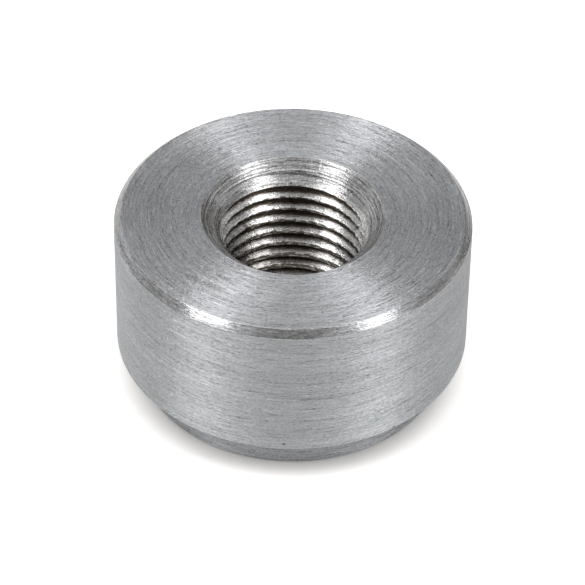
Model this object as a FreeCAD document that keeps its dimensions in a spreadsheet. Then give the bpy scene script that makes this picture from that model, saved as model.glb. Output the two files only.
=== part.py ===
import FreeCAD, Part
import math
import os

import Sketcher

# A steel weld-on bung, turned in one piece. A short pilot drops into the hole in a pipe or tank, the
# shoulder above it seats on the wall and is welded round, and the drilled and countersunk bore takes
# a 1/8-27 pipe thread. Millimetres, +Z up, with the origin at the centre of the pilot's end face.

doc = FreeCAD.newDocument("weld_on_bung")

# Driving dimensions: name, value and what it measures
DIMENSIONS = [
    ("body_diameter", 22.0, "outside of the full-width body"),
    ("bung_height", 11.8, "pilot end face to top face"),
    ("pilot_diameter", 19.1, "outside of the locating pilot"),
    ("pilot_height", 2.4, "pilot end face to shoulder"),
    ("pilot_root_radius", 0.2, "tool-nose radius in the corner under the shoulder"),
    ("pilot_edge_break", 0.1, "chamfer on the pilot's outer edge"),
    ("shoulder_edge_break", 0.1, "chamfer on the shoulder's outer edge"),
    ("top_chamfer", 0.45, "chamfer on the body's top edge"),
    ("drill_diameter", 8.7, "tapping drill of the thread, straight through"),
    ("countersink_diameter", 11.3, "mouth of the countersink in the top face"),
    ("countersink_angle", 90.0, "full angle of the countersink"),
    ("exit_chamfer", 0.5, "chamfer where the thread runs out of the pilot's end face"),
]

sheet = doc.addObject("Spreadsheet::Sheet", "Dimensions")
for row, (name, value, meaning) in enumerate(DIMENSIONS, start=1):
    sheet.set(f"A{row}", name)
    sheet.set(f"B{row}", str(value))
    sheet.set(f"C{row}", meaning)
    sheet.setAlias(f"B{row}", name)
doc.recompute()

body = doc.addObject("PartDesign::Body", "weld_bung")
body.Label = "weld_bung"
body.Placement = FreeCAD.Placement(FreeCAD.Vector(0, 0, 0), FreeCAD.Rotation())


def origin_feature(role):
    """The body's own origin plane or axis with this role."""
    return next(item for item in body.Origin.OriginFeatures if item.Role == role)


def half_section(name, corners):
    """A closed half section of straight edges in the XZ plane: sketch x is the radius, sketch y the height."""
    sketch = body.newObject("Sketcher::SketchObject", name)
    sketch.AttachmentSupport = [(origin_feature("XZ_Plane"), "")]
    sketch.MapMode = "FlatFace"
    points = [FreeCAD.Vector(radius, height, 0) for radius, height in corners]
    count = len(points)
    for index, start in enumerate(points):
        sketch.addGeometry(Part.LineSegment(start, points[(index + 1) % count]), False)
    for index in range(count):
        sketch.addConstraint(Sketcher.Constraint("Coincident", index, 2, (index + 1) % count, 1))
    return sketch


def bind(sketch, kind, corner, value, expression):
    """Drives one corner's radius (DistanceX) or height (DistanceY) from the sheet."""
    number = sketch.addConstraint(Sketcher.Constraint(kind, -1, 1, corner, 1, value))
    sketch.setExpression(f"Constraints[{number}]", expression)


def edges_at(feature, radius, height):
    """Names of the full circles of this radius that lie at this height on the feature."""
    names = []
    for number, edge in enumerate(feature.Shape.Edges, start=1):
        if not isinstance(edge.Curve, Part.Circle):
            continue
        if abs(edge.Curve.Radius - radius) < 1e-4 and abs(edge.Curve.Center.z - height) < 1e-4:
            names.append(f"Edge{number}")
    return names


def read(alias):
    """The value of one driving dimension, as the sheet holds it."""
    return float(sheet.get(alias))


# The blank: body, shoulder and pilot turned as one solid of revolution
pilot_radius = read("pilot_diameter") / 2
body_radius = read("body_diameter") / 2
shoulder_height = read("pilot_height")
top_height = read("bung_height")

blank_corners = [
    (0, 0),
    (pilot_radius, 0),
    (pilot_radius, shoulder_height),
    (body_radius, shoulder_height),
    (body_radius, top_height),
    (0, top_height),
]
blank_section = half_section("blank_section", blank_corners)
for edge in (0, 2, 4):
    blank_section.addConstraint(Sketcher.Constraint("Horizontal", edge))
for edge in (1, 3, 5):
    blank_section.addConstraint(Sketcher.Constraint("Vertical", edge))
blank_section.addConstraint(Sketcher.Constraint("Coincident", 0, 1, -1, 1))
bind(blank_section, "DistanceX", 1, pilot_radius, "Dimensions.pilot_diameter / 2")
bind(blank_section, "DistanceY", 2, shoulder_height, "Dimensions.pilot_height")
bind(blank_section, "DistanceX", 3, body_radius, "Dimensions.body_diameter / 2")
bind(blank_section, "DistanceY", 4, top_height, "Dimensions.bung_height")

blank = body.newObject("PartDesign::Revolution", "turned_blank")
blank.Profile = blank_section
blank.ReferenceAxis = (blank_section, ["V_Axis"])
blank.Angle = 360
doc.recompute()

# The port: drilled through, countersunk at the top and chamfered at the bottom, cut as one groove
drill_radius = read("drill_diameter") / 2
mouth_radius = read("countersink_diameter") / 2
exit_chamfer = read("exit_chamfer")
countersink_depth = (mouth_radius - drill_radius) / math.tan(math.radians(read("countersink_angle") / 2))

port_corners = [
    (0, 0),
    (drill_radius + exit_chamfer, 0),
    (drill_radius, exit_chamfer),
    (drill_radius, top_height - countersink_depth),
    (mouth_radius, top_height),
    (0, top_height),
]
port_section = half_section("port_section", port_corners)
for edge in (0, 4):
    port_section.addConstraint(Sketcher.Constraint("Horizontal", edge))
for edge in (2, 5):
    port_section.addConstraint(Sketcher.Constraint("Vertical", edge))
port_section.addConstraint(Sketcher.Constraint("Coincident", 0, 1, -1, 1))
EXIT_RADIUS = "Dimensions.drill_diameter / 2 + Dimensions.exit_chamfer"
CONE_FOOT = (
    "Dimensions.bung_height - (Dimensions.countersink_diameter - Dimensions.drill_diameter) / 2"
    " / tan(Dimensions.countersink_angle / 2 * 1deg)"
)
bind(port_section, "DistanceX", 1, drill_radius + exit_chamfer, EXIT_RADIUS)
bind(port_section, "DistanceX", 2, drill_radius, "Dimensions.drill_diameter / 2")
bind(port_section, "DistanceY", 2, exit_chamfer, "Dimensions.exit_chamfer")
bind(port_section, "DistanceY", 3, top_height - countersink_depth, CONE_FOOT)
bind(port_section, "DistanceX", 4, mouth_radius, "Dimensions.countersink_diameter / 2")
bind(port_section, "DistanceY", 4, top_height, "Dimensions.bung_height")

port = body.newObject("PartDesign::Groove", "port")
port.Profile = port_section
port.ReferenceAxis = (port_section, ["V_Axis"])
port.Angle = 360
doc.recompute()

# The edges: a chamfer on the top rim, a nose radius under the shoulder and two small edge breaks
top_rim = body.newObject("PartDesign::Chamfer", "top_rim_chamfer")
top_rim.Base = (port, edges_at(port, body_radius, top_height))
top_rim.Size = read("top_chamfer")
top_rim.setExpression("Size", "Dimensions.top_chamfer")
doc.recompute()

pilot_root = body.newObject("PartDesign::Fillet", "pilot_root_fillet")
pilot_root.Base = (top_rim, edges_at(top_rim, pilot_radius, shoulder_height))
pilot_root.Radius = read("pilot_root_radius")
pilot_root.setExpression("Radius", "Dimensions.pilot_root_radius")
doc.recompute()

pilot_edge = body.newObject("PartDesign::Chamfer", "pilot_edge_break")
pilot_edge.Base = (pilot_root, edges_at(pilot_root, pilot_radius, 0))
pilot_edge.Size = read("pilot_edge_break")
pilot_edge.setExpression("Size", "Dimensions.pilot_edge_break")
doc.recompute()

shoulder_edge = body.newObject("PartDesign::Chamfer", "shoulder_edge_break")
shoulder_edge.Base = (pilot_edge, edges_at(pilot_edge, body_radius, shoulder_height))
shoulder_edge.Size = read("shoulder_edge_break")
shoulder_edge.setExpression("Size", "Dimensions.shoulder_edge_break")
body.Tip = shoulder_edge
doc.recompute()

# Every feature must have been made, and the solid must be whole, before anything is written
for item in doc.Objects:
    if "Invalid" in item.State or "Error" in item.State:
        raise RuntimeError(f"{item.Label} failed: {item.State}")
if body.Shape.isNull() or not body.Shape.isValid() or len(body.Shape.Solids) != 1:
    raise RuntimeError("weld_bung is not one valid solid")
if port.Shape.Volume >= blank.Shape.Volume:
    raise RuntimeError("the port removed nothing from the blank")

os.makedirs("parts", exist_ok=True)
body.Shape.exportStep(f"parts/{body.Label}.step")
print(f"{body.Label}: {body.Shape.Volume:.1f} mm3, {len(body.Shape.Faces)} faces")
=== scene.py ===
"""Looks of a turned steel weld bung: its finished surfaces, its thread, and the studio it stands in."""
import functools
import math
from types import SimpleNamespace

import bmesh
import bpy
import numpy as np
from mathutils import Matrix, Vector


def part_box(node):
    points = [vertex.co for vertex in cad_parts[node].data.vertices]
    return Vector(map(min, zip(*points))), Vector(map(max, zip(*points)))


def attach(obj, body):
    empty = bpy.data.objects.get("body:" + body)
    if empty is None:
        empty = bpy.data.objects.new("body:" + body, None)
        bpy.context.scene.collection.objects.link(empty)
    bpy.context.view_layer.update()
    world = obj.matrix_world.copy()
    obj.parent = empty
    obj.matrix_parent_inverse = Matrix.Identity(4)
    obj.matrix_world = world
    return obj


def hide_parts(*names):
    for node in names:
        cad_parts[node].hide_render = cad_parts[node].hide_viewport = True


MM = 0.001
NODE = "weld_bung"

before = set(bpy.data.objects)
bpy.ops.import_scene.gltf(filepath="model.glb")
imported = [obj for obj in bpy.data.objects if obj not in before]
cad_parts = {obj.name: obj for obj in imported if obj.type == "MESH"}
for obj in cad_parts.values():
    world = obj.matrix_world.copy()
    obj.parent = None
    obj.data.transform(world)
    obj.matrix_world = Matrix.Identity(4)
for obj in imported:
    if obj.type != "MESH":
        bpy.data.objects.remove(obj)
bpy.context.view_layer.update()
low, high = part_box(NODE)

# Sizes of the bung, in metres. The overall ones come from the frame.
BODY_R = (high.x - low.x) / 2
TOP_Z = high.z
PILOT_R = 9.55 * MM
PILOT_Z = 2.4 * MM
PILOT_ROOT_R = 0.2 * MM
EDGE_BREAK = 0.1 * MM
TOP_CHAMFER = 0.45 * MM
DRILL_R = 4.35 * MM
MOUTH_R = 5.65 * MM
EXIT_CHAMFER = 0.5 * MM
CONE_FOOT_Z = TOP_Z - (MOUTH_R - DRILL_R)

# How far the corners of the half section are eased
FINE_EASE = 0.03 * MM
CHAMFER_EASE = 0.05 * MM
MOUTH_EASE = 0.04 * MM
CONE_FOOT_EASE = 0.02 * MM

# The cutter's rings in the countersink: least and most spacing, unevenness at the mouth and what it gains
# by the foot, height and share of the raised ones, and the plain stretch that is left at the foot
RING_SPACING = (0.04 * MM, 0.13 * MM)
RING_UNEVENNESS = 0.006 * MM
RING_GAIN = 0.010 * MM
RAISED_RING = 0.018 * MM
RAISED_SHARE = 0.35
RING_MARGIN = 0.05 * MM

# The 1/8-27 pipe thread: 60 degree flanks and a taper of 1 in 16 on the diameter. CREST_Z is the upper edge
# of its first crest at the far side, and the cutter starts LEAD_TURNS above that.
PITCH = 25.4 / 27 * MM
FLANK = math.radians(30)
TAPER = 1 / 32
ROOT_R_TOP = 5.12 * MM
ROOT_FLAT = 0.045 * MM
ROOT_ROUND = 0.02 * MM
CREST_Z = TOP_Z - 1.27 * MM
CREST_EASE = 0.035 * MM
CREST_TEAR = 0.02 * MM
TEAR_BLUR = (0.25, 0.5, 0.7, 0.5, 0.25)
LEAD_TURNS = 2
CUTTER_OVERLAP = 0.4 * MM

SEED = 31
SEGMENTS = 384
SHARP_ANGLE = math.radians(24)

# Colours of the steel by surface, with the thread's lightened by painted light, and of the painted shade and
# the nicks on it
WALL_STEEL = (0.455, 0.466, 0.478, 1)
TOP_STEEL = (0.412, 0.416, 0.425, 1)
CHAMFER_STEEL = (0.37, 0.372, 0.375, 1)
PORT_STEEL = (0.415, 0.410, 0.406, 1)
# the thread's steel is lighter than the rest: painted light that lifts its flanks out of the shade of the
# grooves
LIT_THREAD_STEEL = (0.69, 0.678, 0.665, 1)
# painted shade deep in the port
DEEP_PAINTED_SHADE = (0.12, 0.10, 0.085, 1)
# a brown like oil, used as painted shade in the thread's grooves and on its crests
OIL_AND_SHADE = (0.085, 0.066, 0.049, 1)
NICK_DIRT = (0.06, 0.052, 0.045, 1)

# Roughness by surface, and how strongly the marks stand out. PORT_RELIEF is added in the port.
WALL_ROUGHNESS = 0.48
TOP_ROUGHNESS = 0.43
CHAMFER_ROUGHNESS = 0.22
PORT_ROUGHNESS = 0.25
TURNED_RELIEF = 0.8
EDGE_RELIEF = 0.18
PORT_RELIEF = 0.1
RELIEF_HEIGHT = 0.08 * MM

# Painted shade in the port, darker towards the bottom: it grows from the upper height down to the lower one,
# and lies lower on the right by the tilt
UNSHADED_Z = 8.2 * MM
FULL_SHADE_Z = 3.4 * MM
SHADE_TILT = 0.45
SHADE_SHARE = 0.55

# Painted shade in the thread, in a brown like oil: it darkens the grooves towards their roots, comes further in
# near the middle, and lies as a thin dark layer on the crests
GROOVE_SHADE_START_R = 4.62 * MM
GROOVE_SHADE_FULL_R = 4.75 * MM
GROOVE_SHADE_REACH = 0.07 * MM
GROOVE_SHADE_RAGGED = 0.3 * MM
CREST_SHADE_SHARE = 0.9
CREST_SHADE_DEPTH = 0.03 * MM

# Small dark nicks: centre and radius in mm
NICKS = [
    ((6.36, -8.97, 2.56), 0.10),
    ((-0.32, -11.00, 2.88), 0.09),
    ((-1.99, 4.15, 10.30), 0.13),
    ((3.29, 4.46, 11.69), 0.09),
    ((-0.19, 4.48, 10.63), 0.07),
]
NICK_SHARE = 0.85
NICK_CORE = 0.6
NICK_RAGGED = 0.25 * MM

# The white table. SHADOW_REACH is how far the contact shadow looks for the bung, and the glow grows from
# nothing to whole between the two shares of open sky.
TABLE_HALF = 1.2
TABLE_WHITE = (0.98, 0.955, 0.925, 1)
SHADOW_REACH = 3.2 * MM
SHADOW_SAMPLES = 8
SKY_SHUT = 0.22
SKY_OPEN = 0.66
TABLE_GLOW = 0.40
CAMERA_GLOW = 0.14

# The studio round the steel: its white, its brighter ceiling and its dark patches. A patch has a direction,
# the degrees that it is whole within, the degrees where it ends and, if dark, its strength.
PLAIN_WHITE = (1, 1, 1, 1)
STUDIO_WHITE = (0.98, 0.995, 1.015, 1)
CEILING_WHITE = (1.45, 1.47, 1.5, 1)
STUDIO_DARK = (0.15, 0.135, 0.12, 1)
CEILING = ((0, 0.1, 1), 8, 40)
DARK_PATCHES = {
    "camera_side": ((0, -0.64, 0.77), 14, 31, 0.9),
    "right": ((0.9, 0.12, 0.4), 8, 30, 0.65),
    "left": ((-0.87, 0.02, 0.48), 8, 28, 0.65),
    "back": ((0, 0.95, 0.1), 20, 52, 0.5),
    "back_right": ((0.7, 0.7, 0.05), 10, 34, 0.95),
    "back_left": ((-0.8, 0.6, 0.0), 12, 34, 0.3),
}

# The studio's light on the table: how fast it falls away from overhead, what the sides give, its strength
OVERHEAD_FALL = 5.0
SIDE_LIGHT = 0.1
STUDIO_LIGHT = 1.15

# Long lamps: name, the two directions that each lies between, its width in degrees and its radiance
LAMP_DISTANCE = 0.3
SOFTBOXES = [
    ("softbox_left", (-0.355, 0.10, 1), (-0.90, -0.65, 1), 18, 4.0),
    ("softbox_right", (0.37, 0.10, 1), (0.96, -0.65, 1), 14, 4.4),
]

# The camera, found from the outlines in the photograph: its place in body radii, its angles, and its lens
IMAGE_WIDTH_PX = 585
FOCAL_PX = 3195.0
CAMERA_PLACE = (0.0402, -13.689, 12.430)
CAMERA_PITCH = 0.7170
CAMERA_YAW = math.radians(-0.16)
CAMERA_ROLL = math.radians(0.882)
SENSOR_WIDTH = 36
CLIP_START = 0.005


def arc(centre, radius, start, end, steps):
    """Points of an arc in the half section, from start to end in degrees, both ends included."""
    angles = np.radians(np.linspace(start, end, steps + 1))
    return [(centre[0] + radius * math.cos(a), centre[1] + radius * math.sin(a)) for a in angles]


def eased(corner, before, after, ease, steps=3):
    """A corner of the half section cut back by ease along both sides and rounded between them."""
    corner, before, after = (np.array(p) for p in (corner, before, after))
    start = corner + (before - corner) / np.linalg.norm(before - corner) * ease
    end = corner + (after - corner) / np.linalg.norm(after - corner) * ease
    points = []
    for t in np.linspace(0, 1, steps + 1):
        points.append(tuple((1 - t) ** 2 * start + 2 * t * (1 - t) * corner + t ** 2 * end))
    return points


def between(start, end, count):
    """Points inside a straight side, without its ends."""
    start, end = np.array(start), np.array(end)
    return [tuple(start + (end - start) * t) for t in np.linspace(0, 1, count + 2)[1:-1]]


def cone_rings(start, end, rng):
    """The countersink's side with the uneven rings that its cutter left, about 0.01 to 0.03 mm high."""
    start, end = np.array(start), np.array(end)
    side = end - start
    length = np.linalg.norm(side)
    into_steel = np.array([-side[1], side[0]]) / length
    points, along = [], 0.0
    while True:
        along += rng.uniform(*RING_SPACING)
        if along > length - RING_MARGIN:
            return points
        dip = rng.normal(0, RING_UNEVENNESS + RING_GAIN * along / length)
        if rng.random() < RAISED_SHARE:
            dip -= RAISED_RING
        points.append(tuple(start + side * along / length + into_steel * dip))


def half_section(rng):
    """The closed outline of the bung's half section, without its thread, as (radius, height) points."""
    pilot_edge_low = (PILOT_R - EDGE_BREAK, 0)
    pilot_edge_high = (PILOT_R, EDGE_BREAK)
    root_low = (PILOT_R, PILOT_Z - PILOT_ROOT_R)
    root_centre = (PILOT_R + PILOT_ROOT_R, PILOT_Z - PILOT_ROOT_R)
    root_high = (PILOT_R + PILOT_ROOT_R, PILOT_Z)
    shoulder_low = (BODY_R - EDGE_BREAK, PILOT_Z)
    shoulder_high = (BODY_R, PILOT_Z + EDGE_BREAK)
    chamfer_low = (BODY_R, TOP_Z - TOP_CHAMFER)
    chamfer_high = (BODY_R - TOP_CHAMFER, TOP_Z)
    mouth = (MOUTH_R, TOP_Z)
    foot = (DRILL_R, CONE_FOOT_Z)
    exit_high = (DRILL_R, EXIT_CHAMFER)
    exit_low = (DRILL_R + EXIT_CHAMFER, 0)
    points = []
    points += eased(exit_low, exit_high, pilot_edge_low, FINE_EASE)
    points += between(exit_low, pilot_edge_low, 6)
    points += eased(pilot_edge_low, exit_low, pilot_edge_high, FINE_EASE)
    points += eased(pilot_edge_high, pilot_edge_low, root_low, FINE_EASE)
    points += between(pilot_edge_high, root_low, 3)
    points += arc(root_centre, PILOT_ROOT_R, 180, 90, 5)
    points += between(root_high, shoulder_low, 2)
    points += eased(shoulder_low, root_high, shoulder_high, FINE_EASE)
    points += eased(shoulder_high, shoulder_low, chamfer_low, FINE_EASE)
    points += between(shoulder_high, chamfer_low, 8)
    points += eased(chamfer_low, shoulder_high, chamfer_high, CHAMFER_EASE)
    points += between(chamfer_low, chamfer_high, 1)
    points += eased(chamfer_high, chamfer_low, mouth, CHAMFER_EASE)
    points += between(chamfer_high, mouth, 8)
    points += eased(mouth, chamfer_high, foot, MOUTH_EASE)
    points += cone_rings(mouth, foot, rng)
    points += eased(foot, mouth, exit_high, CONE_FOOT_EASE)
    points += between(foot, exit_high, 10)
    points += [exit_high]
    return points


def turned_mesh(name, outline):
    """A closed solid of revolution about Z from a closed half-section outline."""
    angles = np.arange(SEGMENTS) * 2 * math.pi / SEGMENTS
    outline = np.array(outline)
    count = len(outline)
    vertices = np.empty((count, SEGMENTS, 3))
    vertices[:, :, 0] = outline[:, :1] * np.cos(angles)
    vertices[:, :, 1] = outline[:, :1] * np.sin(angles)
    vertices[:, :, 2] = outline[:, 1:]
    faces = []
    for i in range(count):
        j = (i + 1) % count
        for k in range(SEGMENTS):
            m = (k + 1) % SEGMENTS
            faces.append((i * SEGMENTS + k, i * SEGMENTS + m, j * SEGMENTS + m, j * SEGMENTS + k))
    mesh = bpy.data.meshes.new(name)
    mesh.from_pydata(vertices.reshape(-1, 3).tolist(), [], faces)
    return mesh


def thread_cutter(name, rng):
    """The tapered helical groove that the tap cuts, as a closed solid that runs past both ends of the bore."""
    steps_per_turn = SEGMENTS // 2
    stations = (math.ceil(TOP_Z / PITCH) + LEAD_TURNS) * steps_per_turn + 1
    slope = math.tan(FLANK)
    centre_top = CREST_Z + ((ROOT_R_TOP - DRILL_R) * slope + ROOT_FLAT / 2)
    noise = rng.normal(0, 1, stations + len(TEAR_BLUR) - 1)
    tear = np.abs(np.convolve(noise, TEAR_BLUR, "valid")) * CREST_TEAR
    vertices = []
    for s in range(stations):
        turn = s / steps_per_turn - LEAD_TURNS
        height = centre_top - turn * PITCH
        root = ROOT_R_TOP - (TOP_Z - height) * TAPER
        crest_half = (root - DRILL_R) * slope + ROOT_FLAT / 2
        eased_half = (root - DRILL_R - CREST_EASE) * slope + ROOT_FLAT / 2
        below_first_crest = min(max((CREST_Z - height) / PITCH, 0), 1)
        mouth_half = crest_half + CREST_EASE * 0.5 - tear[s] * below_first_crest
        section = [
            (DRILL_R - CUTTER_OVERLAP, mouth_half),
            (DRILL_R, mouth_half),
            (DRILL_R + CREST_EASE, eased_half),
            (root - ROOT_ROUND, ROOT_FLAT / 2 + ROOT_ROUND * slope),
            (root, ROOT_FLAT / 4),
        ]
        section += [(radius, -half) for radius, half in reversed(section)]
        # seen from above, the groove runs clockwise as it goes down, which is a right-hand thread
        angle = math.pi / 2 - turn * 2 * math.pi
        for radius, offset in section:
            vertices.append((radius * math.cos(angle), radius * math.sin(angle), height + offset))
    size = len(section)
    faces = [tuple(range(size)), tuple(reversed(range((stations - 1) * size, stations * size)))]
    for s in range(stations - 1):
        for k in range(size):
            m = (k + 1) % size
            faces.append((s * size + k, (s + 1) * size + k, (s + 1) * size + m, s * size + m))
    mesh = bpy.data.meshes.new(name)
    mesh.from_pydata(vertices, [], faces)
    return mesh


def outward(mesh):
    """Turns every face of a closed mesh outward."""
    work = bmesh.new()
    work.from_mesh(mesh)
    bmesh.ops.recalc_face_normals(work, faces=work.faces)
    work.to_mesh(mesh)
    work.free()


def placed(name, data):
    """A new object in the scene."""
    item = bpy.data.objects.new(name, data)
    bpy.context.scene.collection.objects.link(item)
    return item


def make_bung():
    """The turned blank with its thread cut into it."""
    rng = np.random.default_rng(SEED)
    blank_mesh = turned_mesh("bung", half_section(rng))
    outward(blank_mesh)
    bung = placed("bung", blank_mesh)
    cutter_mesh = thread_cutter("thread_cutter", rng)
    outward(cutter_mesh)
    cutter = placed("thread_cutter", cutter_mesh)
    cut = bung.modifiers.new("thread", "BOOLEAN")
    cut.operation = "DIFFERENCE"
    cut.solver = "EXACT"
    cut.object = cutter
    bpy.context.view_layer.update()
    graph = bpy.context.evaluated_depsgraph_get()
    bung_mesh = bpy.data.meshes.new_from_object(bung.evaluated_get(graph))
    bung.modifiers.clear()
    bung.data = bung_mesh
    bpy.data.objects.remove(cutter)
    bung_mesh.shade_smooth()
    bung_mesh.set_sharp_from_angle(angle=SHARP_ANGLE)
    return bung


class Nodes:
    """A short way to write a node tree. A value is a socket or a number."""

    def __init__(self, tree):
        self.tree = tree

    def add(self, kind, inputs=(), **settings):
        """A new node, with its settings made first and its inputs linked or set."""
        node = self.tree.nodes.new(kind)
        for key, value in settings.items():
            setattr(node, key, value)
        for key, value in dict(inputs).items():
            socket = node.inputs[key]
            if isinstance(value, bpy.types.NodeSocket):
                self.tree.links.new(value, socket)
            else:
                socket.default_value = value
        return node

    def math(self, operation, a, b=0.0):
        return self.add("ShaderNodeMath", {0: a, 1: b}, operation=operation).outputs[0]

    def plus(self, *values):
        return functools.reduce(functools.partial(self.math, "ADD"), values)

    def times(self, *values):
        return functools.reduce(functools.partial(self.math, "MULTIPLY"), values)

    def most(self, *values):
        return functools.reduce(functools.partial(self.math, "MAXIMUM"), values)

    def rest(self, share):
        """What a share leaves of 1."""
        return self.math("SUBTRACT", 1.0, share)

    def weighed(self, base, *pairs):
        """A base value plus some others, each times its weight."""
        return self.plus(base, *(self.times(value, weight) for value, weight in pairs))

    def spread(self, value, low_in, high_in, low_out, high_out):
        """The value carried from one range to another and kept within it."""
        ends = {"From Min": low_in, "From Max": high_in, "To Min": low_out, "To Max": high_out}
        return self.add("ShaderNodeMapRange", {"Value": value, **ends}).outputs["Result"]

    def blend(self, factor, a, b, mode="MIX"):
        """Two colours mixed. Inputs 6 and 7 and output 2 are the mix node's colour sockets."""
        node = self.add("ShaderNodeMix", {0: factor, 6: a, 7: b}, data_type="RGBA", blend_type=mode)
        return node.outputs[2]


def fresh_nodes(owner):
    """The emptied node tree of a material or a world."""
    owner.use_nodes = True
    owner.node_tree.nodes.clear()
    return Nodes(owner.node_tree)


def steel_places(n):
    """Where a point of the steel lies: its coordinates, and shares from 0 to 1 for the surface it is on."""
    at = SimpleNamespace()
    at.point = n.add("ShaderNodeTexCoord").outputs["Object"]
    at.x, at.y, at.z = n.add("ShaderNodeSeparateXYZ", {0: at.point}).outputs
    at.radius = n.math("SQRT", n.plus(n.times(at.x, at.x), n.times(at.y, at.y)))
    at.ux = n.math("DIVIDE", at.x, at.radius)
    at.uy = n.math("DIVIDE", at.y, at.radius)
    at.sideways = n.math("ABSOLUTE", at.ux)

    # each surface runs over into the next within 0.02 to 0.15 mm
    end_face = n.spread(at.z, 0.01 * MM, 0.03 * MM, 1, 0)
    past_mouth = n.spread(at.radius, MOUTH_R - 0.02 * MM, MOUTH_R + 0.04 * MM, 0, 1)
    below_cone = n.spread(at.z, CONE_FOOT_Z - 0.05 * MM, CONE_FOOT_Z + 0.1 * MM, 1, 0)
    above_exit = n.spread(at.z, EXIT_CHAMFER - 0.1 * MM, EXIT_CHAMFER, 0, 1)
    near_top = n.spread(at.z, TOP_Z - 0.06 * MM, TOP_Z - 0.02 * MM, 0, 1)
    to_chamfer = n.math("SUBTRACT", BODY_R + TOP_Z - TOP_CHAMFER, n.plus(at.radius, at.z))

    at.outside = n.most(past_mouth, end_face)
    at.in_port = n.rest(at.outside)
    at.in_thread = n.times(at.in_port, below_cone, above_exit)
    at.in_cone = n.math("SUBTRACT", at.in_port, at.in_thread)
    at.on_top = n.times(at.outside, near_top)
    at.off_chamfer = n.spread(to_chamfer, 0.01 * MM, 0.05 * MM, 0, 1)
    at.turned = n.times(at.outside, at.off_chamfer)
    return at


def steel_marks(n, at):
    """The marks on the steel, all drawn out round the axis: noise about 0, or sparse marks from 0 to 1."""

    def noise(around, across, detail, shift):
        """1 / around is a mark's angle in radians, across its width, and shift tells one noise from another."""
        stretched = n.add("ShaderNodeCombineXYZ", {
            0: n.times(at.ux, around),
            1: n.times(at.uy, around),
            2: n.plus(n.math("DIVIDE", at.radius, across), shift),
        }).outputs[0]
        inputs = {"Vector": stretched, "W": n.math("DIVIDE", at.z, across), "Scale": 1.0, "Detail": detail}
        texture = n.add("ShaderNodeTexNoise", inputs, noise_dimensions="4D")
        return n.math("SUBTRACT", texture.outputs["Fac"], 0.5)

    def sparse(value, start, full):
        """Only the peaks of a noise, from where they start to where they are whole."""
        return n.spread(value, start, full, 0, 1)

    return SimpleNamespace(
        grain=noise(60, 0.055 * MM, 1.0, 3.1),
        dashes=noise(22, 0.075 * MM, 2.0, 9.7),
        streaks=noise(7, 0.07 * MM, 2.0, 13.9),
        rings=noise(1.2, 0.13 * MM, 2.0, 17.3),
        bands=noise(0.8, 1.1 * MM, 1.0, 23.9),
        torn=noise(14, 0.09 * MM, 2.0, 41.3),
        scratches=sparse(noise(2.6, 0.055 * MM, 1.0, 31.7), 0.10, 0.2),
        # score marks in the cone; their darkening in the colour is painted shade between the rings
        scores_and_shade=sparse(noise(5, 0.06 * MM, 1.0, 53.1), 0.04, 0.16),
        # bright flecks, used as painted glints
        glint_flecks=sparse(noise(9, 0.055 * MM, 1.0, 61.3), 0.08, 0.2),
        gouges=sparse(noise(5, 0.10 * MM, 1.0, 71.9), 0.09, 0.2),
    )


def steel_tone(n, at, mark):
    """How much the marks lighten or darken the steel, as a factor about 1."""
    long_marks = n.times(mark.streaks, n.spread(at.on_top, 0, 1, 1.1, 1.3))
    short_marks = n.times(mark.dashes, n.spread(at.on_top, 0, 1, 0.8, 0.6))
    # bright flecks as painted glints, strongest on the top face
    painted_glints = n.times(mark.glint_flecks, n.spread(at.on_top, 0, 1, 0.12, 0.4))
    front_and_back = n.spread(at.sideways, 0.1, 0.5, 0.24, 0.06)
    dark_marks = n.times(mark.gouges, front_and_back, n.rest(at.on_top))
    coarse = n.most(at.in_port, n.rest(at.off_chamfer))
    return n.weighed(
        1.0,
        (mark.grain, 1.7),
        (long_marks, 1.0),
        (short_marks, 1.2),
        (mark.rings, 0.8),
        (mark.bands, 0.25),
        (mark.scratches, -0.25),
        (painted_glints, 1.0),
        (dark_marks, -1.0),
        # painted shade along the cone's scores
        (n.times(at.in_cone, mark.scores_and_shade), -0.55),
        (n.times(coarse, mark.torn), 0.9),
    )


def steel_shade_and_nicks(n, at, mark, steel):
    """The steel's colour with painted shade deep in the port, painted shade in a brown like oil in the thread,
    and the nicks.
    """
    # painted shade, darker towards the bottom of the port and lower on the right
    level = n.weighed(at.z, (at.x, SHADE_TILT))
    deep = n.spread(level, FULL_SHADE_Z, UNSHADED_Z, SHADE_SHARE, 0.0)
    steel = n.blend(n.times(at.in_thread, deep), steel, DEEP_PAINTED_SHADE)

    # painted shade in the thread's grooves, reaching further in near the middle
    ragged = n.weighed(at.radius, (mark.torn, GROOVE_SHADE_RAGGED))
    reach = n.spread(at.sideways, 0.12, 0.42, GROOVE_SHADE_REACH, 0.0)
    groove = n.spread(n.plus(ragged, reach), GROOVE_SHADE_START_R, GROOVE_SHADE_FULL_R, 0.0, 1.0)
    # painted shade on the thread's crests
    crest = n.spread(ragged, DRILL_R, DRILL_R + CREST_SHADE_DEPTH, CREST_SHADE_SHARE, 0.0)
    steel = n.blend(n.times(at.in_thread, n.most(groove, crest)), steel, OIL_AND_SHADE)

    for centre, size in NICKS:
        apart = n.add("ShaderNodeVectorMath", {0: at.point, 1: Vector(centre) * MM}, operation="DISTANCE")
        apart = n.weighed(apart.outputs["Value"], (mark.torn, NICK_RAGGED))
        nick = n.spread(apart, NICK_CORE * size * MM, size * MM, NICK_SHARE, 0.0)
        steel = n.blend(nick, steel, NICK_DIRT)
    return steel


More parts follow.
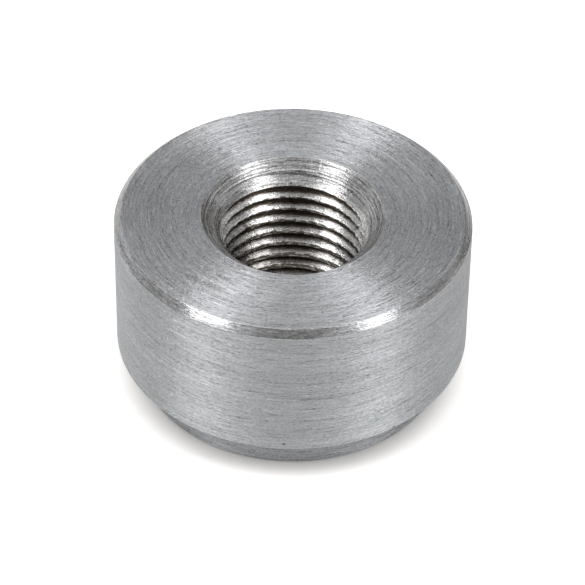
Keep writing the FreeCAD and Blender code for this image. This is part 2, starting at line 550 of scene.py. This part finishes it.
def steel_colour(n, at, mark):
    """Each surface's own steel, times the tone of its marks, under its painted shade and its nicks."""
    steel = n.blend(at.on_top, WALL_STEEL, TOP_STEEL)
    steel = n.blend(at.off_chamfer, CHAMFER_STEEL, steel)
    steel = n.blend(at.outside, PORT_STEEL, steel)
    # the thread gets the lighter steel, painted light against the shade of its grooves
    steel = n.blend(at.in_thread, steel, LIT_THREAD_STEEL)
    tone = steel_tone(n, at, mark)
    grey = n.add("ShaderNodeCombineColor", {0: tone, 1: tone, 2: tone}).outputs[0]
    steel = n.blend(1.0, steel, grey, "MULTIPLY")
    return steel_shade_and_nicks(n, at, mark, steel)


def steel_roughness(n, at, mark):
    """The turned faces are the roughest and the chamfer is the smoothest."""
    turned = n.weighed(
        n.spread(at.on_top, 0, 1, WALL_ROUGHNESS, TOP_ROUGHNESS),
        (mark.grain, 0.4),
        (mark.dashes, 0.45),
        (mark.streaks, 0.35),
        (mark.rings, 0.3),
    )
    smoother = n.weighed(
        n.spread(at.off_chamfer, 0, 1, CHAMFER_ROUGHNESS, PORT_ROUGHNESS),
        (n.times(at.in_port, mark.torn), 0.2),
    )
    return n.plus(n.times(at.turned, turned), n.times(n.rest(at.turned), smoother))


def steel_relief(n, at, mark):
    """The normal of the marks, which stand out most on the turned faces."""
    height = n.weighed(
        0.0,
        (mark.grain, 0.5),
        (mark.dashes, 0.5),
        (mark.streaks, 0.5),
        (mark.rings, 0.8),
        (n.times(at.in_port, mark.torn), 0.3),
        (n.times(at.in_cone, mark.scores_and_shade), -0.3),
    )
    strength = n.weighed(n.spread(at.turned, 0, 1, EDGE_RELIEF, TURNED_RELIEF), (at.in_port, PORT_RELIEF))
    bump = n.add("ShaderNodeBump", {"Strength": strength, "Distance": RELIEF_HEIGHT, "Height": height})
    return bump.outputs[0]


def turned_steel():
    """Bright turned steel. Its marks run round the axis, so a lamp draws out across them."""
    material = bpy.data.materials.new("turned_steel")
    n = fresh_nodes(material)
    at = steel_places(n)
    mark = steel_marks(n, at)
    tangent = n.add("ShaderNodeTangent", direction_type="RADIAL", axis="Z")
    shader = n.add("ShaderNodeBsdfPrincipled", {
        "Base Color": steel_colour(n, at, mark),
        "Metallic": 1.0,
        "Roughness": steel_roughness(n, at, mark),
        "Anisotropic": 1.0,
        "Anisotropic Rotation": 0.25,
        "Normal": steel_relief(n, at, mark),
        "Tangent": tangent.outputs[0],
    })
    n.add("ShaderNodeOutputMaterial", {"Surface": shader.outputs[0]})
    return material


def sees_background(n, ray):
    """1 for the rays that show the background: from the camera, off metal and through glass."""
    return n.most(ray["Is Camera Ray"], ray["Is Glossy Ray"], ray["Is Transmission Ray"])


def white_table():
    """White, with a little glow for the rays that show the background. The glow fades close to the bung."""
    material = bpy.data.materials.new("white_table")
    n = fresh_nodes(material)
    ray = n.add("ShaderNodeLightPath").outputs
    diffuse = n.add("ShaderNodeBsdfDiffuse", {"Color": TABLE_WHITE})
    sky = n.add("ShaderNodeAmbientOcclusion", {"Distance": SHADOW_REACH}, samples=SHADOW_SAMPLES)
    shown = n.weighed(0.0, (sees_background(n, ray), TABLE_GLOW), (ray["Is Camera Ray"], CAMERA_GLOW))
    strength = n.times(shown, n.spread(sky.outputs["AO"], SKY_SHUT, SKY_OPEN, 0.0, 1.0))
    glow = n.add("ShaderNodeEmission", {"Color": PLAIN_WHITE, "Strength": strength})
    both = n.add("ShaderNodeAddShader", {0: diffuse.outputs[0], 1: glow.outputs[0]})
    n.add("ShaderNodeOutputMaterial", {"Surface": both.outputs[0]})
    return material


def make_floor():
    """The table that the bung stands on."""
    half = TABLE_HALF
    corners = [(-half, -half, 0), (half, -half, 0), (half, half, 0), (-half, half, 0)]
    mesh = bpy.data.meshes.new("floor")
    mesh.from_pydata(corners, [], [(0, 1, 2, 3)])
    mesh.materials.append(white_table())
    floor = placed("floor", mesh)


def make_world():
    """White all round for the camera. Metal sees a white studio with a bright ceiling and dark patches."""
    world = bpy.data.worlds.new("studio")
    bpy.context.scene.world = world
    n = fresh_nodes(world)
    ray = n.add("ShaderNodeLightPath").outputs
    direction = n.add("ShaderNodeTexCoord").outputs["Generated"]

    def patch(centre, inner, outer):
        """1 within inner degrees of a direction, falling to 0 at outer degrees."""
        towards = {0: direction, 1: Vector(centre).normalized()}
        dot = n.add("ShaderNodeVectorMath", towards, operation="DOT_PRODUCT")
        ramp = n.add("ShaderNodeMapRange", {
            "Value": dot.outputs["Value"],
            "From Min": math.cos(math.radians(outer)),
            "From Max": math.cos(math.radians(inner)),
        }, interpolation_type="SMOOTHSTEP")
        return ramp.outputs["Result"]

    dark = 0.0
    for centre, inner, outer, strength in DARK_PATCHES.values():
        dark = n.most(dark, n.times(patch(centre, inner, outer), strength))
    studio = n.blend(patch(*CEILING), STUDIO_WHITE, CEILING_WHITE)
    studio = n.blend(dark, studio, STUDIO_DARK)
    seen = n.blend(ray["Is Camera Ray"], studio, PLAIN_WHITE)
    up = n.add("ShaderNodeSeparateXYZ", {0: direction}).outputs[2]
    overhead = n.plus(n.math("POWER", n.most(up, 0.0), OVERHEAD_FALL), SIDE_LIGHT)
    light = n.add("ShaderNodeBackground", {
        "Color": seen,
        "Strength": n.most(sees_background(n, ray), n.times(overhead, STUDIO_LIGHT)),
    })
    n.add("ShaderNodeOutputWorld", {"Surface": light.outputs[0]})


def aimed(name, data, axes, place):
    """A lamp or a camera in the scene, with its three axes turned to these directions."""
    matrix = Matrix(axes).transposed().to_4x4()
    matrix.translation = place
    placed(name, data).matrix_world = matrix


def softbox(name, start, end, width, radiance):
    """A long lamp that faces the bung and lies between two directions, this many degrees wide seen from it."""
    start, end = Vector(start).normalized(), Vector(end).normalized()
    middle = (start + end).normalized()
    along = (end - start).normalized()
    lamp = bpy.data.lights.new(name, "AREA")
    lamp.shape = "RECTANGLE"
    lamp.size = 2 * LAMP_DISTANCE * math.tan(start.angle(end) / 2)
    lamp.size_y = 2 * LAMP_DISTANCE * math.tan(math.radians(width) / 2)
    lamp.energy = radiance * math.pi * lamp.size * lamp.size_y
    aimed(name, lamp, (along, middle.cross(along), middle), middle * LAMP_DISTANCE)


def make_camera():
    """The camera that took the photograph: level and forward from pitch and yaw, then rolled."""
    pitch, yaw, roll = CAMERA_PITCH, CAMERA_YAW, CAMERA_ROLL
    forward = Vector((math.sin(yaw) * math.cos(pitch), math.cos(yaw) * math.cos(pitch), -math.sin(pitch)))
    level_right = Vector((math.cos(yaw), -math.sin(yaw), 0))
    level_up = level_right.cross(forward)
    right = math.cos(roll) * level_right + math.sin(roll) * level_up
    up = -math.sin(roll) * level_right + math.cos(roll) * level_up
    camera = bpy.data.cameras.new("camera")
    camera.sensor_width = SENSOR_WIDTH
    camera.lens = SENSOR_WIDTH * FOCAL_PX / IMAGE_WIDTH_PX
    camera.clip_start = CLIP_START
    aimed("camera", camera, (right, up, -forward), Vector(CAMERA_PLACE) * BODY_R)
    bpy.context.scene.camera = bpy.data.objects["camera"]


bung = make_bung()
bung.data.materials.append(turned_steel())
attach(bung, "root")
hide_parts(NODE)

make_floor()
make_world()
for box in SOFTBOXES:
    softbox(*box)
make_camera()
bpy.context.scene.view_settings.view_transform = "Standard"
